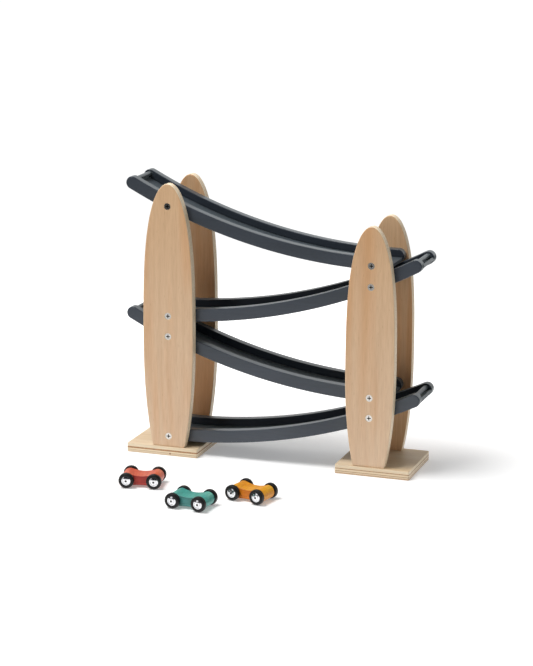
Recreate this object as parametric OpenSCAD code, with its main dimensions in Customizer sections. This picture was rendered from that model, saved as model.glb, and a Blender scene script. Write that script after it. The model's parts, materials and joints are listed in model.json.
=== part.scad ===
// Click clack track: four curved wooden chutes hang between two pairs of plywood uprights, and three little
// cars stand on the floor in front. A car runs down a chute, drops off its low end, lands on the next one and
// runs back the other way. Millimetres, +Z up, z = 0 is the floor, +X to the right and -Y towards the player.

/* [Frame] */
// Distance between the centre lines of the left and right uprights
upright_spacing = 219.4; // [200:0.2:260]
// Depth of the frame over the outer faces of its front and rear uprights
frame_depth = 77; // [70:0.5:100]
// Thickness of the plywood in the uprights
upright_t = 9.4; // [7:0.1:12]
// Thickness of the plywood in the base plates
plate_t = 9.4; // [7:0.1:12]
// Width of a base plate, left to right
plate_w = 79.3; // [66:0.1:110]
// How far a base plate stands out past the uprights, front and rear
plate_lip = 1.7; // [0:0.1:10]
// How far the left plate's middle lies outside the centre line of its uprights
left_plate_outward = 6.9; // [0:0.1:10]
// How far the right plate's middle lies outside the centre line of its uprights
right_plate_outward = 4.4; // [0:0.1:10]
// Radius on the four corners of a base plate
plate_corner_r = 1.5; // [0.5:0.1:6]

/* [Uprights] */
// Height of the left pair's tips above the floor
left_tip_z = 290; // [260:0.5:320]
// Height of the right pair's tips above the floor
right_tip_z = 259.7; // [255:0.1:280]
// Greatest width of a left upright
left_w = 55.4; // [46:0.2:70]
// Greatest width of a right upright
right_w = 52; // [46:0.2:70]
// Height of the widest place, as a share of the tip's height
widest_share = 0.42; // [0.35:0.01:0.5]
// Half length of the ellipse below the widest place, as a share of that place's height
tail_share = 1.19; // [1.12:0.01:1.4]
// Fullness of the nose above the widest place: 2 is an ellipse, more is blunter
nose_power = 3.15; // [2.4:0.05:4]

/* [Tracks] */
// Radius of a rail's top edge, seen from the front
track_r = 576; // [540:1:640]
// Height of a rail, square to its length
rail_h = 13.4; // [12:0.1:14.2]
// Thickness of a rail, front to rear
rail_t = 9.6; // [8:0.1:11]
// Depth of the deck's running surface below the rails' top edges
deck_drop = 8.2; // [6:0.1:9]
// Thickness of the deck
deck_t = 3.4; // [2.4:0.1:4]
// How far each edge of the deck is let into its rail
deck_tongue = 2; // [1:0.1:4]
// How far the deck stops short of the rails' round ends
deck_setback = 1.4; // [0.5:0.1:4]
// Length of rail past each track's high screw, along the curve, from the top track down
high_overhangs = [54, 54.8, 54.4, 54.8]; // [48:0.2:57]
// Length of rail past the screw at a track's low end, along the curve
low_overhang = 17.8; // [14:0.2:18.4]
// Height of the top track's high screw below the left tips
top_screw_drop = 23.5; // [18:0.5:26]
// Height of the lowest screw above the floor
bottom_screw_z = 20.7; // [20:0.1:30]
// Share of the whole descent that each track falls between its two screws, from the top track down
fall_shares = [0.2586, 0.2614, 0.2559, 0.2241]; // [0.2:0.0001:0.3]
// Height of a track's low screw above the next track's high screw, were both tracks level
landing_step = 14.2; // [14:0.1:17]
// Height of each rail's middle line above its high screw, from the top track down
high_lifts = [0.5, 1.2, -0.2, 0.3]; // [-0.5:0.1:1.5]
// Height of each rail's middle line above its low screw, from the top track down
low_lifts = [0.5, -0.2, 0.5, 0.1]; // [-0.3:0.1:1]
// Diameter of the stop pin across a track's high end
pin_d = 5; // [4:0.1:6]
// Distance of the pin's centre from the rails' high end, along the curve
pin_from_end = 5.8; // [5:0.1:9]
// Depth of the pin's centre below the rails' top edges
pin_drop = 4.4; // [3.6:0.1:5]
// Depth of the pin's seat in each rail
pin_seat = 5; // [3:0.1:7]

/* [Screws] */
// Diameter of a countersunk screw head
head_d = 7; // [6:0.1:8]
// Height of the countersunk cone
head_h = 2.4; // [2:0.1:3]
// Diameter of a screw's shank
shank_d = 3.4; // [3:0.1:4]
// Length of a screw through an upright into a rail
side_screw_l = 16; // [13:0.5:17]
// Length of a screw up through a base plate into an upright
base_screw_l = 32; // [22:1:45]
// Distance between the two screws under an upright
base_screw_spacing = 18; // [14:0.5:22]
// How deep the heads lie in the front and rear uprights' countersinks
side_head_sunk = 0.3; // [0:0.1:0.8]
// How deep the heads under a base plate lie in their countersinks
base_head_sunk = 0.8; // [0.4:0.1:1.5]
// Length of each slot of the cross recess
recess_l = 4.2; // [3:0.1:5]
// Width of each slot of the cross recess
recess_w = 1; // [0.6:0.1:1.3]
// Depth of the cross recess
recess_depth = 1.5; // [0.8:0.1:2]

/* [Cars] */
// Distance between a car's axles
wheelbase = 28.2; // [25:0.2:34]
// Width of a car over its hubs
car_w = 32.4; // [28:0.1:36]
// Diameter of the body's round ends, centred on the axles
body_end_d = 13.2; // [11:0.1:14]
// Height of the top of the body's waist above the axles' middle line
waist_rise = 4.1; // [3:0.1:4.8]
// Depth of the underside of the body's waist below the axles' middle line
waist_drop = 5.3; // [3:0.1:5.4]
// Diameter of an axle
axle_d = 2.2; // [1.8:0.1:3]

/* [Wheels] */
// Diameter of a tyre
tyre_d = 15.7; // [14.8:0.1:18]
// Width of a wheel
wheel_w = 5.8; // [5.5:0.1:8]
// How far the middle of the hub's face stands out past the tyre's outer side
hub_proud = 0.3; // [0:0.05:0.6]
// Radius of the tyre's shoulders
shoulder_r = 1.8; // [0.6:0.1:2]
// Diameter of the chromed hub
hub_d = 9.6; // [8.6:0.1:11]
// Rise of the hub's domed face from its edge to its middle
dome_rise = 0.8; // [0.3:0.05:1.2]
// Width of the hub's outer rim, between its edge and the ring groove
rim_w = 1.3; // [0.6:0.1:1.5]
// Width of the ring groove in the hub's face
groove_w = 0.4; // [0.2:0.05:0.6]
// Depth of the ring groove
groove_depth = 0.4; // [0.2:0.05:0.8]
// Depth of the axle's end below the middle of the hub's face
axle_sunk = 0.4; // [0.1:0.05:0.8]

/* [Places of the cars] */
// Red car: its middle left or right of the frame's middle, and ahead of the base plates
red_place = [-96.2, 104.2]; // [-160:0.1:160]
// Red car: heading, anticlockwise seen from above
red_heading = 11; // [-20:0.1:20]
// Green car: its middle left or right of the frame's middle, and ahead of the base plates
green_place = [-24.8, 153.5]; // [-160:0.1:160]
// Green car: heading
green_heading = -5.1; // [-20:0.1:20]
// Yellow car: its middle left or right of the frame's middle, and ahead of the base plates
yellow_place = [23, 111.5]; // [-160:0.1:160]
// Yellow car: heading
yellow_heading = -12.4; // [-20:0.1:20]

/* [Fits] */
// Radial clearance of an axle in the body's bore
running_gap = 0.06; // [0.02:0.01:0.1]
// Gap all round a piece that is pressed, glued or screwed in its seat
seat_gap = 0.02; // [0.01:0.01:0.05]
// Gap between a turning wheel and the body beside it
wheel_gap = 0.4; // [0.3:0.05:0.8]
// Radial clearance of a screw's shank in an upright or a base plate
shank_gap = 0.15; // [0.05:0.05:0.3]

/* [Hidden] */
$fn = 96;
// Facets of the long curves of the tracks
curve_fn = 256;
// Overrun of a cut past the face it opens
over = 1;
// Points along each side of an upright, below and above its widest place
tail_steps = 14;
nose_steps = 26;
// Steps of the rim and of the middle of a hub's domed face
rim_steps = 2;
dome_steps = 5;

CARS = ["red", "green", "yellow"];
ENDS = ["front", "rear"];
SIDES = ["left", "right"];

car_places = [red_place, green_place, yellow_place];
car_headings = [red_heading, green_heading, yellow_heading];
car_colours = ["#d9604a", "#3f8f83", "#e79a2b"];

ply_colour = "#dcc09a";
track_colour = "#4a525b";
steel_colour = "silver";

// Places that follow from the sizes above
inner_half = frame_depth / 2 - upright_t;
channel_w = 2 * (inner_half - rail_t);
plate_d = frame_depth + 2 * plate_lip;
rail_mid_r = track_r + rail_h / 2;
axle_z = tyre_d / 2;
body_w = car_w - 2 * wheel_w - 2 * wheel_gap;
wheel_in = body_w / 2 + wheel_gap;
wheel_out = car_w / 2;
hub_r = hub_d / 2 - seat_gap;
bore_r = axle_d / 2 + seat_gap;

// Fall of each track between its two screws. At a landing one track's low end hangs down and the next track
// climbs, each with its own slope over the low overhang, so a steeper set gets higher steps
track_shares = fall_shares / (fall_shares * [1, 1, 1, 1]);
landing_slope = low_overhang / upright_spacing;
descent = (left_tip_z - top_screw_drop - bottom_screw_z - 3 * landing_step)
    / (1 + landing_slope * (2 - track_shares[0] - track_shares[3]));
track_falls = descent * track_shares;
function step_below(i) =
    i < 3 ? landing_step + landing_slope * (track_falls[i] + track_falls[i + 1]) : 0;
// Heights of the tracks' high and low screws, from the top track down
high_screw_z = [for (i = 0, z = left_tip_z - top_screw_drop; i < 4;
    z = z - track_falls[i] - step_below(i), i = i + 1) z];
low_screw_z = [for (i = [0:3]) high_screw_z[i] - track_falls[i]];

// A track's high end lies on the left for the first and third track, on the right for the others
function high_side(i) = i % 2 == 0 ? -1 : 1;
function half_fall(i) = (track_falls[i] + high_lifts[i] - low_lifts[i]) / 2;
function half_chord(i) = norm([upright_spacing / 2, half_fall(i)]);
// Centre of a track's curve: above the middle of the line between its two screw columns, square to it
function curve_centre(i) =
    let (rise = sqrt(rail_mid_r ^ 2 - half_chord(i) ^ 2) / half_chord(i))
    [-high_side(i) * half_fall(i) * rise,
     high_screw_z[i] + high_lifts[i] - half_fall(i) + upright_spacing / 2 * rise];
// Angle of a place on the curve from straight down, positive towards the high side
function angle_at(i, x) = asin(high_side(i) * (x - curve_centre(i).x) / rail_mid_r);
function along(length) = length / rail_mid_r * 180 / PI;
function high_angle(i) = angle_at(i, high_side(i) * upright_spacing / 2) + along(high_overhangs[i]);
function low_angle(i) = angle_at(i, -high_side(i) * upright_spacing / 2) - along(low_overhang);
// A point of the track's own plane, by its radius and its angle towards the high side
function on_curve(i, r, angle) =
    curve_centre(i) + r * [high_side(i) * sin(angle), -cos(angle)];
function nose(i, high) = on_curve(i, rail_mid_r,
    high ? high_angle(i) - along(rail_h / 2) : low_angle(i) + along(rail_h / 2));

// The origin lies under the middle of the whole set's box
function car_reach(i) = car_w / 2 * cos(car_headings[i])
    + (wheelbase + tyre_d) / 2 * abs(sin(car_headings[i]));
set_left = min([for (i = [0, 2]) nose(i, true).x]) - rail_h / 2;
set_right = max([for (i = [1, 3]) nose(i, true).x]) + rail_h / 2;
set_front = -plate_d / 2 - max([for (i = [0:2]) car_places[i].y + car_reach(i)]);
set_middle = [(set_left + set_right) / 2, (set_front + plate_d / 2) / 2];

function track_node(i, piece) = str("track_", i + 1, "_", piece);
function upright_node(depth, side) = str("upright_", depth, "_", side);
function car_node(i, piece) = str(CARS[i], "_car_", piece);
function wheel_node(i, end, side, piece) = str(CARS[i], "_car_", end, "_", side, "_", piece);

TRACK_PIECES = ["front_rail", "rear_rail", "deck", "stop_pin"];

// Placing
module on_set() translate([-set_middle.x, -set_middle.y, 0]) children();
// Stands a drawing of the front view up and gives it a depth, from its front face backwards
module from_front(y, depth) translate([0, y + depth, 0]) rotate([90, 0, 0]) linear_extrude(depth) children();
module on_front_face() translate([0, -frame_depth / 2, 0]) rotate([90, 0, 0]) children();
module mirror_to(side) if (side < 0) children(); else mirror([0, 1, 0]) children();

// Screws: the head's flat top at z = 0, the point down
module screw(length) {
    difference() {
        union() {
            translate([0, 0, -head_h]) cylinder(h = head_h, d1 = shank_d, d2 = head_d);
            translate([0, 0, shank_d - length]) cylinder(h = length - shank_d, d = shank_d);
            translate([0, 0, -length]) cylinder(h = shank_d, d1 = 0, d2 = shank_d);
        }
        for (turn = [0, 90]) rotate(turn)
            translate([-recess_l / 2, -recess_w / 2, -recess_depth])
                cube([recess_l, recess_w, recess_depth + over]);
    }
}
// Seat of a screw: a countersink, a clearance hole through the first board, a snug hole in the second
module screw_seat(length, first_board) {
    translate([0, 0, -head_h])
        cylinder(h = head_h, d1 = shank_d + 2 * shank_gap, d2 = head_d + 2 * shank_gap);
    cylinder(h = over, d = head_d + 2 * shank_gap);
    translate([0, 0, -first_board]) cylinder(h = first_board, d = shank_d + 2 * shank_gap);
    translate([0, 0, -length - seat_gap]) cylinder(h = length, d = shank_d + 2 * seat_gap);
}
function side_screws(side) = [for (i = [0:3]) high_side(i) == side ? high_screw_z[i] : low_screw_z[i]];
module at_side_screws(side) for (z = side_screws(side))
    translate([side * upright_spacing / 2, z, -side_head_sunk]) children();
module at_base_screws(side) for (depth = [-1, 1]) for (place = [-1, 1])
    translate([side * upright_spacing / 2 + place * base_screw_spacing / 2,
        depth * (frame_depth - upright_t) / 2, base_head_sunk]) rotate([180, 0, 0]) children();

module side_screw_group() color(steel_colour) on_front_face()
    for (side = [-1, 1]) at_side_screws(side) screw(side_screw_l);
module base_screw_group() color(steel_colour)
    for (side = [-1, 1]) at_base_screws(side) screw(base_screw_l);

// Base plates
module base_plate(side) color(ply_colour) difference() {
    outward = side < 0 ? left_plate_outward : right_plate_outward;
    translate([side * (upright_spacing / 2 + outward), 0, 0]) linear_extrude(plate_t) difference() {
        square([plate_w, plate_d], center = true);
        for (across = [0, 1]) mirror([across, 0]) for (deep = [0, 1]) mirror([0, deep])
            translate([plate_w / 2 - plate_corner_r, plate_d / 2 - plate_corner_r]) difference() {
                square(plate_corner_r + over);
                circle(plate_corner_r);
            }
    }
    at_base_screws(side) screw_seat(base_screw_l, plate_t - base_head_sunk);
}

// Uprights: a half ellipse below the widest place and a fuller nose above it
function share_of(power, rise) = (1 - rise ^ power) ^ (1 / 2);
function half_outline(tip, width) =
    let (widest = widest_share * tip, tail = tail_share * widest, foot = asin((widest - plate_t) / tail))
    concat(
        [for (k = [0:tail_steps]) let (t = foot * (1 - k / tail_steps))
            [width / 2 * cos(t), widest - tail * sin(t)]],
        [for (k = [1:nose_steps]) let (t = sin(90 * k / nose_steps))
            [width / 2 * share_of(nose_power, t), widest + (tip - widest) * t]]);
module upright_outline(side) {
    half = side < 0 ? half_outline(left_tip_z, left_w) : half_outline(right_tip_z, right_w);
    mirrored = [for (k = [len(half) - 2:-1:0]) [-half[k].x, half[k].y]];
    translate([side * upright_spacing / 2, 0]) polygon(concat(half, mirrored));
}
module upright(side) color(ply_colour) difference() {
    from_front(-frame_depth / 2, upright_t) upright_outline(side);
    on_front_face() at_side_screws(side) screw_seat(side_screw_l, upright_t - side_head_sunk);
    at_base_screws(side) screw_seat(base_screw_l, plate_t - base_head_sunk);
}

// Tracks, drawn in the front view
module sector(i, from, to) polygon([curve_centre(i),
    on_curve(i, track_r + track_r / 2, from), on_curve(i, track_r + track_r / 2, to)]);
module band(i, r1, r2, from, to) intersection() {
    translate(curve_centre(i)) difference() {
        circle(r2, $fn = curve_fn);
        circle(r1, $fn = curve_fn);
    }
    sector(i, from, to);
}
module rail_outline(i) {
    band(i, track_r, track_r + rail_h, low_angle(i) + along(rail_h / 2), high_angle(i) - along(rail_h / 2));
    for (high = [false, true]) translate(nose(i, high)) circle(rail_h / 2);
}
module deck_outline(i, gap) band(i, track_r + deck_drop - gap, track_r + deck_drop + deck_t + gap,
    low_angle(i) + along(deck_setback - gap), high_angle(i) - along(deck_setback - gap));
module pin_place(i)
    translate(on_curve(i, track_r + pin_drop, high_angle(i) - along(pin_from_end))) children();

module front_rail(i) color(track_colour) difference() {
    from_front(-inner_half, rail_t) rail_outline(i);
    from_front(-inner_half + rail_t - deck_tongue, deck_tongue + over) deck_outline(i, seat_gap);
    from_front(-inner_half + rail_t - pin_seat, pin_seat + over)
        pin_place(i) circle(d = pin_d + 2 * seat_gap);
    on_front_face() for (side = [-1, 1]) at_side_screws(side)
        screw_seat(side_screw_l, upright_t - side_head_sunk);
}
module deck(i) color(track_colour) from_front(-channel_w / 2 - deck_tongue + seat_gap,
    channel_w + 2 * (deck_tongue - seat_gap)) deck_outline(i, 0);
module stop_pin(i) color(track_colour) from_front(-channel_w / 2 - pin_seat + seat_gap,
    channel_w + 2 * (pin_seat - seat_gap)) pin_place(i) circle(d = pin_d);

// Cars: modelled along X about their middle, with the axles at z = 0, then placed
module car_at(i) translate([car_places[i].x, -plate_d / 2 - car_places[i].y, axle_z])
    rotate(car_headings[i]) children();
module axle_at(end) translate([end == "front" ? wheelbase / 2 : -wheelbase / 2, 0, 0])
    rotate([-90, 0, 0]) children();
module wheel_at(end, side) axle_at(end)
    if (side == "left") children(); else mirror([0, 0, 1]) children();

// Two round ends joined by a block in two halves, each hollowed by an arc that meets the ends smoothly
body_end_r = body_end_d / 2;
function waist_r(height) =
    ((wheelbase / 2) ^ 2 + height ^ 2 - body_end_r ^ 2) / (2 * (body_end_r - height));
function blend_point(height) = let (share = body_end_r / (waist_r(height) + body_end_r))
    [wheelbase / 2 * (1 - share), (height + waist_r(height)) * share];
module body_outline() {
    for (x = [-1, 1]) translate([x * wheelbase / 2, 0]) circle(body_end_r);
    above = blend_point(waist_rise);
    below = blend_point(waist_drop);
    difference() {
        union() {
            translate([-above.x, 0]) square([2 * above.x, above.y]);
            translate([-below.x, -below.y]) square([2 * below.x, below.y]);
        }
        translate([0, waist_rise + waist_r(waist_rise)]) circle(waist_r(waist_rise), $fn = curve_fn);
        translate([0, -waist_drop - waist_r(waist_drop)]) circle(waist_r(waist_drop), $fn = curve_fn);
    }
}
module car_body(i) color(car_colours[i]) car_at(i) difference() {
    from_front(-body_w / 2, body_w) body_outline();
    for (end = ENDS) axle_at(end)
        cylinder(h = body_w + 2 * over, d = axle_d + 2 * running_gap, center = true);
}
module axle(i, end) color(steel_colour) car_at(i) axle_at(end)
    cylinder(h = 2 * (wheel_out - axle_sunk), d = axle_d, center = true);

// A hub is a turned disc with a low domed face and a ring groove in it
function on_dome(r) = [r, wheel_out - dome_rise * (r / hub_r) ^ 2];
function dome_from(outer, inner, steps) = [for (k = [0:steps]) on_dome(outer + (inner - outer) * k / steps)];
module hub(i, end, side) color(steel_colour) car_at(i) wheel_at(end, side)
    let (groove_outer = hub_r - rim_w, groove_inner = groove_outer - groove_w)
    rotate_extrude() polygon(concat(
        [[bore_r, wheel_in], [hub_r, wheel_in]],
        dome_from(hub_r, groove_outer, rim_steps),
        [on_dome(groove_outer) - [0, groove_depth], on_dome(groove_inner) - [0, groove_depth]],
        dome_from(groove_inner, bore_r, dome_steps)));
// A tyre is a thick ring with round shoulders
module tyre(i, end, side) color("#222222") car_at(i) wheel_at(end, side) rotate_extrude() difference() {
    translate([hub_d / 2, wheel_in]) square([(tyre_d - hub_d) / 2, wheel_w - hub_proud]);
    for (shoulder = [[wheel_in + shoulder_r, -1], [wheel_out - hub_proud - shoulder_r, 1]])
        translate([tyre_d / 2 - shoulder_r, shoulder[0]]) difference() {
            translate([0, min(0, shoulder[1] * (shoulder_r + over))]) square(shoulder_r + over);
            circle(shoulder_r);
        }
}

module track_piece(i, piece) {
    if (piece == "front_rail") front_rail(i);
    if (piece == "rear_rail") mirror([0, 1, 0]) front_rail(i);
    if (piece == "deck") deck(i);
    if (piece == "stop_pin") stop_pin(i);
}

on_set() base_plate(-1);  // base_plate_left
on_set() base_plate(1);  // base_plate_right
on_set() upright(-1);  // upright_front_left
on_set() upright(1);  // upright_front_right
on_set() mirror([0, 1, 0]) upright(-1);  // upright_rear_left
on_set() mirror([0, 1, 0]) upright(1);  // upright_rear_right
for (i = [0:3]) for (piece = TRACK_PIECES)
    on_set() track_piece(i, piece);
on_set() side_screw_group();  // front_side_screws
on_set() mirror([0, 1, 0]) side_screw_group();  // rear_side_screws
on_set() base_screw_group();  // base_screws
for (i = [0:2]) {
    on_set() car_body(i);
    for (end = ENDS) {
        on_set() axle(i, end);
        for (side = SIDES) {
            on_set() tyre(i, end, side);
            on_set() hub(i, end, side);
        }
    }
}
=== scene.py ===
# %% [markdown]
# # A click clack track of birch plywood, with three little cars
#
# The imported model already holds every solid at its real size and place, in metres. This lesson dresses it:
# the boards get rounded edges, the plywood its plies and grain, the tracks their satin paint, and each
# wheel its turned hub and its tyre. Nothing is moved. Where a piece needs a finer shape than the solid has,
# a new mesh stands in the same place and rides on the same body, so the cars still roll.

# %% Load the frame
import json
import math

import bmesh
import bpy
from mathutils import Euler, Matrix, Vector


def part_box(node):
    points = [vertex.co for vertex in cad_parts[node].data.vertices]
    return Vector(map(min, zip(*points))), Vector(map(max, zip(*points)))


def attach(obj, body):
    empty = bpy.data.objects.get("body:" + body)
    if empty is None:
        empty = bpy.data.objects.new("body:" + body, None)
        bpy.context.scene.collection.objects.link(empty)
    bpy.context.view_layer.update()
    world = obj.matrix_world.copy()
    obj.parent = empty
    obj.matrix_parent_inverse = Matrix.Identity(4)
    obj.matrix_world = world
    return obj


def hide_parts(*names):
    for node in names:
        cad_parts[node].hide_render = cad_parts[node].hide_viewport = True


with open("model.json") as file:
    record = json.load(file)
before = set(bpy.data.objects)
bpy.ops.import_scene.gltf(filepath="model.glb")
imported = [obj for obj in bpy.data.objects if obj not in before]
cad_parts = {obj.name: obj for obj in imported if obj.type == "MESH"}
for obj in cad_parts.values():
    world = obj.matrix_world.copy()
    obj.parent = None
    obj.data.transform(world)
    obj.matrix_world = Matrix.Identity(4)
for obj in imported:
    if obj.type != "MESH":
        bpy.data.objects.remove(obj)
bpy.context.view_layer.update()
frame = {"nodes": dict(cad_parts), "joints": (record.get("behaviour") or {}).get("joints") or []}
MM = 0.001

# %% [markdown]
# ## The camera
#
# A product photograph like this one is taken with a long lens from far away, which keeps upright boards
# upright. The camera stands a little to the right of the middle and looks slightly down. Its aim hangs on
# the uprights' own boxes, so it follows the frame if its size changes. The lens is worked out from the
# picture's long side.

# %% Camera
picture_height = 666
focal_pixels = 2188.8
camera_turn = math.radians(18.902)
camera_dip = math.radians(13.499)
camera_roll = math.radians(0.293)
camera_distance = 2.2895
aim_from_middle = Vector((-0.01408, 0, 0.13197))

left_box, right_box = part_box("upright_front_left"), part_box("upright_rear_right")
frame_middle = Vector(((left_box[0].x + left_box[1].x + right_box[0].x + right_box[1].x) / 4,
                       (left_box[0].y + right_box[1].y) / 2, 0))
aim = frame_middle + aim_from_middle
turned = Euler((math.pi / 2 - camera_dip, 0, camera_turn)).to_matrix().to_4x4()
lens = bpy.data.cameras.new("photo_camera")
lens.sensor_width = 36
lens.lens = focal_pixels / picture_height * lens.sensor_width
camera = bpy.data.objects.new("photo_camera", lens)
camera.matrix_world = (Matrix.Translation(aim + turned.to_3x3() @ Vector((0, 0, camera_distance)))
                       @ turned @ Matrix.Rotation(camera_roll, 4, "Z"))
bpy.context.collection.objects.link(camera)
bpy.context.scene.camera = camera
print("lens", round(lens.lens, 1), "mm, aimed at", tuple(round(v, 4) for v in aim))

# %% [markdown]
# ## Small helpers for materials
#
# Every finish is a node tree on Blender's Principled shader. A few helpers keep those trees short: one
# turns the colour that a picture shows into the linear values that a shader needs, one adds a node and
# fills its sockets in a single line, and the others wrap the nodes that come back in every finish: a change
# of range, a colour ramp, a mix of two colours, a tint, a distance, stretched coordinates and a bump.

# %% Material helpers
BLACK, WHITE = (0, 0, 0, 1), (1, 1, 1, 1)
AXES = {"x": 0, "y": 1, "z": 2}


def shade(red, green, blue):
    """A colour as a picture holds it, 0 to 255 a channel, made linear."""
    def linear(value):
        value /= 255
        return value / 12.92 if value <= 0.04045 else ((value + 0.055) / 1.055) ** 2.4
    return (linear(red), linear(green), linear(blue), 1)


def new_finish(name, **constants):
    """A material with its tree and its shader; constants go straight on the shader's own sockets."""
    finish = bpy.data.materials.new(name)
    finish.use_nodes = True
    shader = finish.node_tree.nodes["Principled BSDF"]
    for socket, value in constants.items():
        shader.inputs[socket.replace("_", " ")].default_value = value
    return finish, finish.node_tree, shader


def fill(tree, socket, value):
    """A socket gets a value, or a link from another node's output."""
    if isinstance(value, bpy.types.NodeSocket):
        tree.links.new(value, socket)
    else:
        socket.default_value = value


def add(tree, kind, settings=(), **sockets):
    """One node: its settings, then its sockets by name."""
    made = tree.nodes.new("ShaderNode" + kind)
    for name, value in dict(settings).items():
        setattr(made, name, value)
    for name, value in sockets.items():
        fill(tree, made.inputs[name.replace("_", " ")], value)
    return made


def rescale(tree, value, **ends):
    """A number carried over from one range to another; an end that isn't given is 0 or 1."""
    return add(tree, "MapRange", Value=value, **ends).outputs["Result"]


def reckon(tree, operation, a, b=0.0):
    """One sum on two numbers."""
    made = add(tree, "Math", {"operation": operation})
    fill(tree, made.inputs[0], a)
    fill(tree, made.inputs[1], b)
    return made.outputs[0]


def mix(tree, kind, factor, a, b):
    """Two colours mixed by a factor, in one of the paint modes."""
    made = add(tree, "Mix", {"data_type": "RGBA", "blend_type": kind})
    fill(tree, made.inputs[0], factor)
    fill(tree, made.inputs[6], a)
    fill(tree, made.inputs[7], b)
    return made.outputs[2]


def ramp(tree, factor, stops, interpolation="LINEAR"):
    """A colour ramp through (position, colour) stops."""
    made = add(tree, "ValToRGB", Fac=factor)
    made.color_ramp.interpolation = interpolation
    bands = made.color_ramp.elements
    while len(bands) < len(stops):
        bands.new(0.5)
    for band, (position, colour) in zip(bands, stops):
        band.position = position
        band.color = colour
    return made.outputs["Color"]


def tint(tree, strength, colour, pattern, low, tone, high):
    """A colour with a tone laid over it where a pattern is low, and bare where the pattern is high."""
    return mix(tree, "MULTIPLY", strength, colour, ramp(tree, pattern, [(low, tone), (high, WHITE)]))


def object_place(tree, centre=(0, 0, 0), turn=0.0):
    """Object coordinates counted from a centre and turned about the vertical."""
    place = add(tree, "TexCoord").outputs["Object"]
    return add(tree, "Mapping", {"vector_type": "TEXTURE"}, Vector=place,
               Location=centre, Rotation=(0, 0, turn)).outputs["Vector"]


def distance_from(tree, centre=(0, 0, 0)):
    """How far a point lies from a centre."""
    place = object_place(tree, centre)
    return add(tree, "VectorMath", {"operation": "LENGTH"}, Vector=place).outputs["Value"]


def grain(tree, place, along, fine, coarse, detail=3, roughness=0.5, distortion=0.0):
    """Noise with so many features a metre across the grain and along it."""
    scale = tuple(coarse if axis == AXES[along] else fine for axis in range(3))
    drawn = add(tree, "Mapping", Vector=place, Scale=scale).outputs["Vector"]
    return add(tree, "TexNoise", Vector=drawn, Scale=1, Detail=detail, Roughness=roughness,
               Distortion=distortion).outputs["Fac"]


def relief(tree, shader, height, strength, distance):
    """A bump from a pattern of heights, as deep as the distance says."""
    made = add(tree, "Bump", Height=height, Strength=strength, Distance=distance)
    tree.links.new(made.outputs["Normal"], shader.inputs["Normal"])


# %% [markdown]
# ## The studio
#
# The main light is one large soft lamp, high on the left and a little in front, so the shadows are short
# and fall to the right, and the tops are brighter than the fronts. A pale surround and the white floor fill
# the rest. A narrow strip of light stands in front on the left: it hardly brightens anything, but a chromed
# hub that faces it shines.
#
# What the chrome mirrors matters more than the chrome. Behind the set everything is white, behind the
# camera the room is dark above the floor, so a domed hub shows a dark upper part and a white lower part.
# That lives in the world's shader, which tells mirror rays from plain light with a Light Path node.

# %% World and lamps
scene = bpy.context.scene
scene.view_settings.view_transform = "Standard"

surround_ahead, surround_behind = (0.2, 0.2, 0.2, 1), (0.52, 0.52, 0.52, 1)
dark_room = (0.035, 0.035, 0.04, 1)
scene.world = bpy.data.worlds.new("studio")
scene.world.use_nodes = True
sky = scene.world.node_tree
away = add(sky, "SeparateXYZ", Vector=add(sky, "TexCoord").outputs["Generated"]).outputs["Y"]
behind_set = rescale(sky, away, From_Min=-0.25, From_Max=0.1)
ray = add(sky, "LightPath").outputs
mirrored = mix(sky, "MIX", behind_set, dark_room, WHITE)
all_round = rescale(sky, away, From_Min=-0.7, From_Max=0.5)
surround = mix(sky, "MIX", all_round, surround_ahead, surround_behind)
lit = mix(sky, "MIX", ray["Is Glossy Ray"], surround, mirrored)
fill(sky, sky.nodes["Background"].inputs["Color"], mix(sky, "MIX", ray["Is Camera Ray"], lit, WHITE))


def soft_lamp(name, turn, height, distance, width, tall, power):
    """A soft lamp, turned from straight in front of the set (to the left is negative) and raised."""
    data = bpy.data.lights.new(name, "AREA")
    data.shape = "RECTANGLE"
    data.size, data.size_y = width, tall
    data.energy = power
    lamp = bpy.data.objects.new(name, data)
    facing = Euler((math.pi / 2 - math.radians(height), 0, math.radians(turn)))
    lamp.rotation_euler = facing
    lamp.location = frame_middle + Vector((0, 0, 0.1)) + facing.to_matrix() @ Vector((0, 0, distance))
    bpy.context.collection.objects.link(lamp)
    return lamp


key = soft_lamp("key_lamp", turn=-55, height=66, distance=2.2, width=1.1, tall=1.1, power=44)
strip = soft_lamp("strip_lamp", turn=-28, height=16, distance=2.0, width=0.55, tall=1.2, power=3)
for lamp in (key, strip):
    print(lamp.name, "at", tuple(round(v, 2) for v in lamp.location))

# %% [markdown]
# ## The floor
#
# The floor is a sheet of white paper. Its plain colour catches the shadows, and it ends softly about a
# metre from the set, which is why the lowest screws and tracks mirror a bright floor and the highest ones a
# dark one.
#
# The camera should see white everywhere. The little that the paper lacks to pure white, and all of it
# beyond the paper, is a glow that only the camera sees, weak near the set, where it would wash out the
# shadows. Glossy rays see a glow too, strongest close by and gone at the paper's end: white paper in full
# light is brighter than a picture can show, and the satin rails, the lacquer and the hubs mirror it.

# %% Floor
floor_half, floor_below = 12, 0.1 * MM
paper_edge, paper_gone = 0.65, 1.15
paper_white, beyond_paper = (0.9, 0.9, 0.9, 1), (0.04, 0.04, 0.04, 1)
glow_near, glow_far, glow_by_set = 0.2, 0.9, 0.23
mirror_near, mirror_far = 0.1, 1.0

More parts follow.
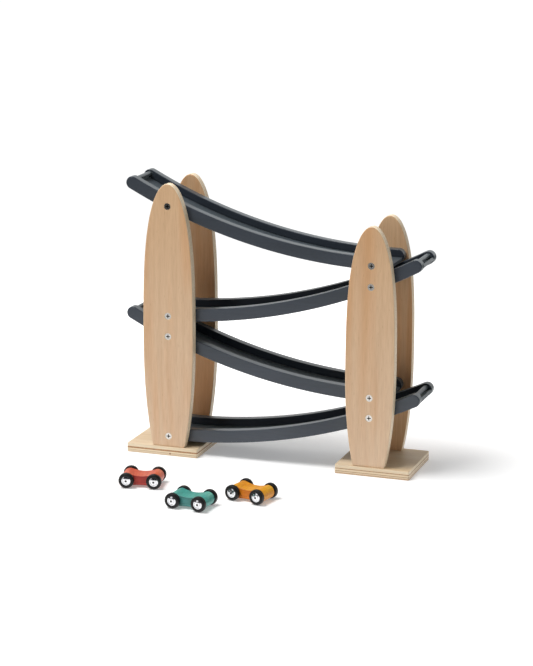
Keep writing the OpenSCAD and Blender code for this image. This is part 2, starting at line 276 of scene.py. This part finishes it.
sheet = bmesh.new()
bmesh.ops.create_grid(sheet, x_segments=1, y_segments=1, size=floor_half)
floor_mesh = bpy.data.meshes.new("floor")
sheet.to_mesh(floor_mesh)
sheet.free()
floor = bpy.data.objects.new("floor", floor_mesh)
floor.location.z = -floor_below
bpy.context.collection.objects.link(floor)
paper, tree, shader = new_finish("white_paper", Roughness=0.9, Specular_IOR_Level=0.1, Emission_Color=WHITE)
distance = distance_from(tree)
past_paper = rescale(tree, distance, From_Min=paper_edge, From_Max=paper_gone)
fill(tree, shader.inputs["Base Color"], mix(tree, "MIX", past_paper, paper_white, beyond_paper))
glow = rescale(tree, distance, From_Min=glow_near, From_Max=glow_far, To_Min=glow_by_set, To_Max=1.0)
bright = rescale(tree, distance, From_Min=mirror_near, From_Max=mirror_far, To_Min=1.0, To_Max=0.0)
ray = add(tree, "LightPath").outputs
seen, mirrored = (reckon(tree, "MULTIPLY", *pair) for pair in (
    (ray["Is Camera Ray"], glow), (ray["Is Glossy Ray"], bright)))
fill(tree, shader.inputs["Emission Strength"], reckon(tree, "MAXIMUM", seen, mirrored))
floor_mesh.materials.append(paper)
print("floor", floor.dimensions.x, "m wide")

# %% [markdown]
# ## Birch plywood
#
# Plywood is a stack of thin sheets whose grain crosses from one sheet to the next. Seen on an edge, every
# second sheet shows its end grain and looks browner, with a thin dark glue line on either side of it. Seen
# on a face, only the outer veneer shows: pale, with soft streaks along the grain and tiny flecks.
#
# One material does both. It measures how far a point lies through the board's thickness, looks up on a
# colour ramp whether a crossed sheet lies there, and stretches the noise along that sheet's own grain. The
# veneer's colour holds within a hair of the two faces, so a rounded edge runs over from veneer to sheets as
# the real one does. A board may also show a small knot on its edge.

# %% Plywood
glue_line = 0.018
knot_heart, knot_edge, knot_colour = 0.5 * MM, 1.2 * MM, shade(146, 84, 62)


def plywood(name, through, start, thickness, face_grain, core_grain, colours, crossed, glue_strength, shift,
            painted_light_top=0.3, knot=None):
    """Plywood laid through one axis; crossed holds its crossed sheets, as shares (from, to, how brown)."""
    foot_veneer_painted_light, tip_veneer_painted_light, streak, sheet, core, glue_colour = colours
    finish, tree, shader = new_finish(name, IOR=1.5)
    place = object_place(tree, shift)
    depth = add(tree, "SeparateXYZ", Vector=add(tree, "TexCoord").outputs["Object"]).outputs[AXES[through]]
    share = rescale(tree, depth, From_Min=start, From_Max=start + thickness)

    in_core = ramp(tree, share, [(0, BLACK)] + [
        stop for low, high, brown in crossed
        for stop in ((low, (brown, brown, brown, 1)), (high, BLACK))], "CONSTANT")
    glue = ramp(tree, share, [
        stop for low, high, brown in crossed for line in (low, high) if 0 < line
        for stop in ((line - glue_line, BLACK), (line, WHITE), (line + glue_line, BLACK))])
    on_face = ramp(tree, share, [(0, WHITE), (0.02, WHITE), (0.05, BLACK), (0.95, BLACK), (0.98, WHITE)])

    broad = grain(tree, place, face_grain, 42, 3, 2, distortion=0.6)
    streaks = grain(tree, place, face_grain, 260, 8)
    fibres = grain(tree, place, face_grain, 1500, 60, 2)
    end_grain = grain(tree, place, core_grain, 900, 300, 3, 0.7)
    fleck_scale = tuple(60 if axis == AXES[face_grain] else 420 for axis in range(3))
    fleck_place = add(tree, "Mapping", Vector=place, Scale=fleck_scale).outputs["Vector"]
    flecks = add(tree, "TexVoronoi", Vector=fleck_place, Scale=1).outputs["Distance"]

    # Painted light and shade: with height the face's veneer shifts from its foot colour to its tip colour.
    upwards = add(tree, "SeparateXYZ", Vector=add(tree, "TexCoord").outputs["Object"]).outputs["Z"]
    painted_light_towards_tip = rescale(tree, upwards, From_Max=painted_light_top)
    veneer = mix(tree, "MIX", painted_light_towards_tip, foot_veneer_painted_light, tip_veneer_painted_light)
    in_streak = rescale(tree, broad, From_Min=0.52, From_Max=0.3)
    face = mix(tree, "MULTIPLY", in_streak, veneer, streak)
    face = tint(tree, 0.22, face, streaks, 0.3, shade(220, 200, 180), 0.62)
    face = tint(tree, 0.25, face, fibres, 0.35, shade(214, 198, 182), 0.6)
    face = tint(tree, 0.35, face, flecks, 0.04, shade(190, 160, 130), 0.12)
    pale = tint(tree, 0.5, sheet, streaks, 0.3, shade(222, 206, 186), 0.6)
    brown = tint(tree, 0.8, core, end_grain, 0.35, shade(176, 150, 124), 0.6)
    edge = mix(tree, "MIX", in_core, pale, brown)
    edge = mix(tree, "MIX", reckon(tree, "MULTIPLY", glue, glue_strength), edge, glue_colour)
    if knot:
        from_knot = distance_from(tree, knot)
        in_knot = rescale(tree, from_knot, From_Min=knot_edge, From_Max=knot_heart)
        edge = mix(tree, "MIX", in_knot, edge, knot_colour)
    tree.links.new(mix(tree, "MIX", on_face, edge, face), shader.inputs["Base Color"])

    rough = rescale(tree, fibres, To_Min=0.45, To_Max=0.62)
    tree.links.new(rough, shader.inputs["Roughness"])
    relief(tree, shader, fibres, 0.25, 0.0001)
    return finish


# %% [markdown]
# ## Rounding the edges of the boards
#
# Boards that children handle have their edges rounded over with a router. The solids' edges are sharp, so
# each visible board gets a new mesh: a merged copy of its solid whose outline is bevelled. Only the
# outlines are rounded: the edges of screw holes and bores stay crisp. To find an outline, the sharp edges
# of one flat side are sorted into connected loops, and the longest is that side's outline.
#
# A bevel goes wrong where leftover triangles meet the edge. So the two flat sides are taken off, each
# outline is closed by one plain face while it is bevelled, and then the flat sides are filled in again
# round their holes. Weighted normals keep the flat faces flat right up to the rounding.

# %% Rounded copies of boards
joined_within, flat_within = 0.02 * MM, 0.01 * MM
sharp_angle, level_angle = math.radians(40), math.radians(0.2)


def longest_loop(edges):
    """Of some edges, the connected group that is longest in all."""
    left, groups = set(edges), []
    while left:
        group, open_ends = [], [left.pop()]
        while open_ends:
            edge = open_ends.pop()
            group.append(edge)
            near = {other for vert in edge.verts for other in vert.link_edges if other in left}
            left -= near
            open_ends.extend(near)
        groups.append(group)
    return max(groups, key=lambda group: sum(edge.calc_length() for edge in group))


def finished(name, mesh, finish, body, slot, *nodes, sharp=38):
    """A bmesh becomes a piece with a finish, rides on a body and stands for its CAD nodes."""
    data = bpy.data.meshes.new(name)
    mesh.to_mesh(data)
    mesh.free()
    data.materials.clear()
    data.materials.append(finish)
    data.polygons.foreach_set("use_smooth", [True] * len(data.polygons))
    data.set_sharp_from_angle(angle=math.radians(sharp))
    piece = bpy.data.objects.new(name, data)
    bpy.context.collection.objects.link(piece)
    weighted = piece.modifiers.new("flat_faces_stay_flat", "WEIGHTED_NORMAL")
    weighted.keep_sharp = True
    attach(piece, body)
    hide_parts(*nodes)
    return piece


def extent(node, direction):
    """Lowest and highest place of a node along a direction."""
    along = [vert.co.dot(direction) for vert in frame["nodes"][node].data.vertices]
    return min(along), max(along)


def rounded_board(node, across, radius, finish, body, slot, segments=3):
    """A copy of a board, flat square to the direction across, with both outlines rounded."""
    board = bmesh.new()
    board.from_mesh(frame["nodes"][node].data)
    bmesh.ops.remove_doubles(board, verts=board.verts, dist=joined_within)
    bmesh.ops.dissolve_limit(board, angle_limit=level_angle, verts=board.verts, edges=board.edges)
    sides = extent(node, across)

    def on_side(part, side):
        return all(abs(vert.co.dot(across) - side) < flat_within for vert in part.verts)

    sharp_edges = [edge for edge in board.edges if edge.calc_face_angle() > sharp_angle]
    outlines = [longest_loop(edge for edge in sharp_edges if on_side(edge, side)) for side in sides]
    flat = [face for face in board.faces if any(on_side(face, side) for side in sides)]
    bmesh.ops.delete(board, geom=flat, context="FACES")
    for outline in outlines:
        bmesh.ops.contextual_create(board, geom=outline)
    bmesh.ops.bevel(board, geom=[edge for outline in outlines for edge in outline], offset=radius,
                    offset_type="OFFSET", affect="EDGES", segments=segments, profile=0.5, material=-1)
    for side in sides:
        lid = [face for face in board.faces if on_side(face, side)]
        bmesh.ops.delete(board, geom=lid, context="FACES_ONLY")
        rims = [edge for edge in board.edges if len(edge.link_faces) == 1 and on_side(edge, side)]
        bmesh.ops.triangle_fill(board, edges=rims, use_beauty=True, normal=across)
    bmesh.ops.recalc_face_normals(board, faces=board.faces)
    return finished(node + "_rounded", board, finish, body, slot, node)


ACROSS = {"x": Vector((1, 0, 0)), "y": Vector((0, 1, 0)), "z": Vector((0, 0, 1))}

# %% [markdown]
# ## The base plates
#
# The two plates are plywood too, cream with browner crossed sheets, and each plate shows its own stack on
# its edges. A stack lists its crossed sheets by where they begin and end in the thickness, and how brown
# they are. The plates' edges are only lightly broken. The left plate has one small knot on its front edge.

# %% Base plates
plate_veneer, plate_streak = shade(228, 206, 174), shade(244, 236, 222)
plate_colours = (plate_veneer, plate_veneer, plate_streak, shade(242, 224, 194), shade(200, 152, 104),
                 shade(142, 96, 58))
plate_sheets = {"left": ((0, 0.14, 0.35), (0.24, 0.3, 0.5), (0.48, 0.64, 1)),
                "right": ((0, 0.15, 0.7), (0.27, 0.33, 0.8), (0.55, 0.63, 0.9))}
knot_from_left, knot_height = 48.9 * MM, 2.2 * MM
plate_glue, plate_edge = 0.55, 0.5 * MM
for side, shift in (("left", (0.31, 0.17, 0.0)), ("right", (0.83, 0.45, 0.0))):
    node = "base_plate_" + side
    low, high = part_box(node)
    knot = (low.x + knot_from_left, low.y, knot_height) if side == "left" else None
    finish = plywood("plate_ply_" + side, "z", low.z, high.z - low.z, "x", "y", plate_colours,
                     plate_sheets[side], plate_glue, shift, knot=knot)
    rounded_board(node, ACROSS["z"], plate_edge, finish, "frame", "birch_ply")
    print(node, "from", round(low.x, 4), "to", round(high.x, 4))

# %% [markdown]
# ## The four uprights
#
# Their veneer is warmer than the plates, with soft vertical streaks, and the edge is a plain cream with the
# sheets only just visible. Each upright gets its own stretch of veneer, so no two look alike. The face
# colour also carries painted light and shade: the front uprights turn paler towards the foot, where the
# white floor lights them, and the rear ones, which stand in the tracks' shade, are warmer and deeper at the
# foot and brighter at the tip.

# %% Uprights
orange_streak = shade(250, 232, 214)
even_sheets = ((0.25, 0.375, 1), (0.625, 0.75, 1))
upright_edges = (shade(253, 236, 206), shade(250, 228, 194), shade(204, 176, 142))
# Foot and tip colours of the veneer, front and rear: painted light and shade, not a change in the wood.
veneers_with_painted_light = {"front": (shade(232, 204, 174), shade(226, 187, 144)),
           "rear": (shade(230, 186, 140), shade(240, 200, 156))}
upright_glue, upright_edge = 0.18, 0.9 * MM
for depth, side, shift in (("front", "left", (0.0, 0.3, 0.1)), ("front", "right", (0.6, 0.1, 0.7)),
                           ("rear", "left", (0.9, 0.8, 0.2)), ("rear", "right", (0.2, 0.5, 0.9))):
    node = f"upright_{depth}_{side}"
    low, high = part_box(node)
    colours = (*veneers_with_painted_light[depth], orange_streak, *upright_edges)
    finish = plywood(f"upright_ply_{depth}_{side}", "y", low.y, high.y - low.y, "z", "x", colours,
                     even_sheets, upright_glue, shift, painted_light_top=high.z)
    rounded_board(node, ACROSS["y"], upright_edge, finish, "frame", "birch_ply", segments=4)
    print(node, "tip at", round(high.z, 4))

# %% [markdown]
# ## Painted tracks
#
# The rails, decks and pins wear one satin slate-grey paint, sprayed on wood, so the grain shows through as
# a very faint ripple. Satin paint is dark when looked at squarely and pale at a grazing angle, which is
# just how the tops of the rails and the steep deck look. The shader's own gloss gives part of that, with a
# roughness of about a third, and a thin sheen gives the rest: the soft, slightly green bloom of a matting
# agent in the paint.

# %% Track paint
track_paint, tree, shader = new_finish("slate_track_paint", IOR=1.5, Sheen_Weight=0.35, Sheen_Roughness=0.45,
                                       Sheen_Tint=(0.78, 0.9, 0.88, 1))
place = object_place(tree)
sprayed = grain(tree, place, "x", 900, 700, 2)
under_grain = grain(tree, place, "x", 420, 16, 3)
cloud = grain(tree, place, "x", 30, 14, 2)
tone = ramp(tree, cloud, [(0.3, shade(41, 49, 59)), (0.7, shade(47, 55, 67))])
tone = tint(tree, 0.5, tone, under_grain, 0.35, shade(218, 220, 222), 0.65)
tree.links.new(tone, shader.inputs["Base Color"])
rough = rescale(tree, sprayed, To_Min=0.3, To_Max=0.4)
tree.links.new(rough, shader.inputs["Roughness"])
height = reckon(tree, "ADD", reckon(tree, "MULTIPLY", sprayed, 0.5),
                reckon(tree, "MULTIPLY", under_grain, 0.8))
relief(tree, shader, height, 0.3, 0.00008)

rail_edge = 0.8 * MM
for number in (1, 2, 3, 4):
    for piece in ("front_rail", "rear_rail"):
        rounded_board(f"track_{number}_{piece}", ACROSS["y"], rail_edge, track_paint, "frame", "track_paint")
    for piece in ("deck", "stop_pin"):
        frame["nodes"][f"track_{number}_{piece}"].material_slots[0].material = track_paint
print("painted 4 tracks")

# %% [markdown]
# ## Screws
#
# The countersunk heads are zinc-plated steel: bright, with fine scuffs. In the picture the highest one
# looks dark and the lowest ones bright only because of what they mirror. The cross recess is deep and
# narrow and lies in shade, and that shade is painted: below the head's flat top the colour drops to nearly
# black. Each group's heads share one plane, and the distance behind that plane is all that the material has
# to know.

# %% Screw steel
# Depths behind the heads' plane where the painted shade of the recess begins and where it is full.
recess_shade_start, recess_shade_full = 0.1 * MM, 0.5 * MM


def screw_steel(group, axis, inwards):
    """Plated steel, shade painted behind the heads' plane; inwards is +1 or -1 along the axis."""
    finish, tree, shader = new_finish(group + "_steel", Metallic=1.0)
    low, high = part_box(group)
    heads = (low if inwards > 0 else high)[AXES[axis]]
    along = add(tree, "SeparateXYZ", Vector=add(tree, "TexCoord").outputs["Object"]).outputs[AXES[axis]]
    behind = reckon(tree, "MULTIPLY", reckon(tree, "SUBTRACT", along, heads), inwards)
    painted_recess_shade = rescale(tree, behind, From_Min=recess_shade_start, From_Max=recess_shade_full)
    scuffs = grain(tree, object_place(tree), "x", 2600, 2600, 3)
    plated = ramp(tree, scuffs, [(0.3, shade(152, 149, 144)), (0.7, shade(190, 187, 182))])
    # Painted shade: in the cross recess, behind the heads' plane, the colour drops to nearly black.
    tree.links.new(mix(tree, "MIX", painted_recess_shade, plated, shade(30, 26, 24)), shader.inputs["Base Color"])
    rough = rescale(tree, scuffs, To_Min=0.08, To_Max=0.18)
    tree.links.new(rough, shader.inputs["Roughness"])
    frame["nodes"][group].material_slots[0].material = finish


for group, axis, inwards in (("front_side_screws", "y", 1), ("rear_side_screws", "y", -1),
                             ("base_screws", "z", 1)):
    screw_steel(group, axis, inwards)
    print("plated", group)

# %% [markdown]
# ## Car bodies
#
# Each body is one block of pale wood, dipped in a thin stain. The grain runs across the car, so the two
# flat sides are end grain, which drinks more stain and looks darker, with faint lines along the car. On the
# top the colour is banded from side to side, with paler patches. The pattern is counted from each car's own
# middle and turned by its heading, and the distance from that middle tells the flat sides from the rest.

# %% Stained bodies
end_grain_inner, end_grain_outer = 0.7 * MM, 0.1 * MM


def stained_wood(name, deep, clear, pale, end_tone, centre, heading, half_width):
    """Stained wood: end grain on the two flat sides of a car, bands and pale patches between them."""
    finish, tree, shader = new_finish(name, IOR=1.45)
    place = object_place(tree, centre, heading)
    bands = grain(tree, place, "y", 520, 60, 3, 0.6, 0.4)
    patches = grain(tree, place, "y", 120, 40, 3, 0.6)
    pores = grain(tree, place, "y", 2400, 300, 2)
    rings = grain(tree, place, "x", 700, 40, 2, 0.5, 0.3)
    tone = ramp(tree, patches, [(0.36, deep), (0.52, clear), (0.68, pale)])
    tone = tint(tree, 0.5, tone, bands, 0.35, shade(205, 196, 190), 0.6)
    end_grain = tint(tree, 0.6, end_tone, rings, 0.4, shade(205, 190, 185), 0.6)
    across = reckon(tree, "ABSOLUTE", add(tree, "SeparateXYZ", Vector=place).outputs["Y"])
    on_end = rescale(tree, across, From_Min=half_width - end_grain_inner,
                     From_Max=half_width - end_grain_outer)
    tone = mix(tree, "MIX", on_end, tone, end_grain)
    tone = tint(tree, 0.3, tone, pores, 0.35, shade(190, 180, 172), 0.55)
    tree.links.new(tone, shader.inputs["Base Color"])
    rough = rescale(tree, pores, To_Min=0.42, To_Max=0.58)
    tree.links.new(rough, shader.inputs["Roughness"])
    relief(tree, shader, pores, 0.3, 0.00008)
    return finish


body_edge = 0.7 * MM
joints = {joint["name"]: joint for joint in frame["joints"]}
stains = {
    "red": (shade(204, 82, 54), shade(214, 97, 64), shade(226, 134, 104), shade(188, 58, 48)),
    "green": (shade(60, 152, 142), shade(74, 166, 156), shade(118, 194, 178), shade(74, 148, 144)),
    "yellow": (shade(224, 142, 2), shade(236, 162, 12), shade(240, 180, 50), shade(236, 134, 18))}
for colour, tones in stains.items():
    body = colour + "_car_body"
    forward = Vector(joints[colour + "_car_roll"]["axis"])
    sideways = Vector(joints[colour + "_car_front_axle_spin"]["axis"]).normalized()
    heading = math.atan2(forward.y, forward.x)
    low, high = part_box(body)
    right, left = extent(body, sideways)
    finish = stained_wood(colour + "_stain", *tones, (low + high) / 2, heading, (left - right) / 2)
    rounded_board(body, sideways, body_edge, finish, colour + "_car", colour + "_wood")
    print(colour, "heads", round(math.degrees(heading), 1), "degrees")

# %% [markdown]
# ## Wheels
#
# A wheel is a turned hub, bright with chrome, inside a black rubber tyre. Both are lathe work: half a
# section, drawn as a few points from the axle outwards, is spun once round the axle, and then the rings
# that a lathe tool would round are bevelled. The hub's face is one low dome with a ring groove in it, so
# wherever it faces, its upper parts tilt towards the dark room and its lower parts towards the white floor.
#
# Every point also stores its distance from the axle, so the chrome can carry fine turning rings round each
# wheel's own middle.

# %% Lathe
same_ring = 0.02 * MM


def lathe(section, rings, place, steps=72):
    """A closed section of (radius, height) points spun about Z, rings rounded, then put in its place."""
    turned_piece = bmesh.new()
    corners = [turned_piece.verts.new((radius, 0, height)) for radius, height in section]
    for here, there in zip(corners, corners[1:] + corners[:1]):
        turned_piece.edges.new((here, there))
    bmesh.ops.spin(turned_piece, geom=turned_piece.verts[:] + turned_piece.edges[:], cent=(0, 0, 0),
                   axis=(0, 0, 1), angle=2 * math.pi, steps=steps, use_merge=True)
    bmesh.ops.remove_doubles(turned_piece, verts=turned_piece.verts, dist=0.001 * MM)
    for radius, height, rounding, segments in rings:
        ring = [edge for edge in turned_piece.edges if all(
            abs(math.hypot(vert.co.x, vert.co.y) - radius) < same_ring and abs(vert.co.z - height) < same_ring
            for vert in edge.verts)]
        bmesh.ops.bevel(turned_piece, geom=ring, offset=rounding, affect="EDGES", segments=segments,
                        profile=0.5, material=-1)
    bmesh.ops.recalc_face_normals(turned_piece, faces=turned_piece.faces)
    from_axle = turned_piece.verts.layers.float.new("from_axle")
    for vert in turned_piece.verts:
        vert[from_axle] = math.hypot(vert.co.x, vert.co.y)
    turned_piece.transform(place)
    return turned_piece


# %% [markdown]
# ## Chrome and rubber
#
# Chrome is a metal with hardly any roughness; what makes it believable is what it mirrors, so it gets only
# faint smudges, and turning rings that are a little less smooth than the metal between them. Rubber is
# nearly black, with a dull sheen that a little dust and the mould's fine texture break up.

# %% Wheel finishes
ring_pitch = 0.32 * MM
hub_chrome, tree, shader = new_finish("hub_chrome", Metallic=1.0)
away = add(tree, "Attribute", {"attribute_name": "from_axle"}).outputs["Fac"]
turning = reckon(tree, "SINE", reckon(tree, "MULTIPLY", away, 2 * math.pi / ring_pitch))
smudges = grain(tree, object_place(tree), "x", 700, 700, 3)
tree.links.new(ramp(tree, smudges, [(0.3, shade(172, 173, 175)), (0.65, shade(198, 198, 200))]),
               shader.inputs["Base Color"])
rough = rescale(tree, turning, From_Min=-1, To_Min=0.05, To_Max=0.13)
tree.links.new(rough, shader.inputs["Roughness"])

tyre_rubber, tree, shader = new_finish("tyre_rubber", IOR=1.5, Specular_IOR_Level=0.25)
place = object_place(tree)
mould = grain(tree, place, "x", 3000, 3000, 2)
dust = grain(tree, place, "x", 260, 260, 3, 0.7)
tree.links.new(ramp(tree, dust, [(0.4, shade(7, 7, 8)), (0.75, shade(16, 16, 17))]),
               shader.inputs["Base Color"])
rough = rescale(tree, dust, To_Min=0.42, To_Max=0.6)
tree.links.new(rough, shader.inputs["Roughness"])
relief(tree, shader, mould, 0.25, 0.00006)

axle_steel, tree, shader = new_finish("axle_steel", Metallic=1.0)
drawn = grain(tree, object_place(tree), "y", 2400, 120, 2)
tree.links.new(ramp(tree, drawn, [(0.3, shade(40, 38, 36)), (0.7, shade(70, 68, 66))]),
               shader.inputs["Base Color"])
rough = rescale(tree, drawn, To_Min=0.28, To_Max=0.42)
tree.links.new(rough, shader.inputs["Roughness"])
print("3 wheel finishes")

# %% [markdown]
# ## Twelve wheels in their places
#
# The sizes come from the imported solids: the tyre's and the hub's own widths along the axle and their
# diameters. The axle's direction is the axis of its joint, and a wheel faces away from the middle of its
# axle.

# %% Wheels
dome_height = 0.8 * MM
rim_steps, dome_steps = 3, 8
rim_width, groove_width, groove_depth = 1.3 * MM, 0.4 * MM, 0.4 * MM
hub_edge, hub_sharp = 0.2 * MM, 19
tyre_gap, tyre_lip = 0.02 * MM, 0.4 * MM
tyre_inner_shoulder, tyre_outer_shoulder = 1.5 * MM, 1.9 * MM


def half_height(node):
    """Half of a node's height: the radius of a round piece that lies on its side."""
    low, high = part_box(node)
    return (high.z - low.z) / 2


for colour in stains:
    for end in ("front", "rear"):
        joint = joints[f"{colour}_car_{end}_axle_spin"]
        axle, middle = Vector(joint["axis"]), Vector(joint["pos_m"])
        wheels, axle_node = f"{colour}_car_{end}_wheels", f"{colour}_car_{end}_axle"
        frame["nodes"][axle_node].material_slots[0].material = axle_steel
        for side in ("left", "right"):
            hub_node, tyre_node = (f"{colour}_car_{end}_{side}_{kind}" for kind in ("hub", "tyre"))
            low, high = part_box(hub_node)
            outwards = axle if ((low + high) / 2 - middle).dot(axle) > 0 else -axle
            inner, outer = (value - middle.dot(outwards) for value in extent(hub_node, outwards))
            tyre_outer = extent(tyre_node, outwards)[1] - middle.dot(outwards)
            hub_r, tyre_r, bore_r = (half_height(node) for node in (hub_node, tyre_node, axle_node))
            place = Matrix.Translation(middle) @ outwards.to_track_quat("Z", "Y").to_matrix().to_4x4()

            groove_outer = hub_r - rim_width
            groove_inner = groove_outer - groove_width
            rim = [groove_outer + rim_width * (1 - step / rim_steps) for step in range(rim_steps + 1)]
            dome = [groove_inner + (bore_r - groove_inner) * step / dome_steps
                    for step in range(dome_steps + 1)]
            section = [(bore_r, inner), (hub_r, inner)]
            section += [(radius, outer - dome_height * (radius / hub_r) ** 2 - sunk) for radius, sunk in (
                *((radius, 0) for radius in rim), (groove_outer, groove_depth), (groove_inner, groove_depth),
                *((radius, 0) for radius in dome))]
            hub = lathe(section, [(hub_r, outer - dome_height, hub_edge, 3)], place)
            finished(hub_node + "_turned", hub, hub_chrome, wheels, "hub_chrome", hub_node, sharp=hub_sharp)

            hole_r = hub_r + tyre_gap
            section = [(hole_r, inner), (tyre_r, inner), (tyre_r, tyre_outer), (hole_r, tyre_outer)]
            tyre = lathe(section, [(tyre_r, inner, tyre_inner_shoulder, 6),
                                   (tyre_r, tyre_outer, tyre_outer_shoulder, 7),
                                   (hole_r, tyre_outer, tyre_lip, 3)], place)
            finished(tyre_node + "_moulded", tyre, tyre_rubber, wheels, "tyre_rubber", tyre_node)
    print(colour, "car on its wheels, tyres", round(2 * tyre_r / MM, 1), "mm")
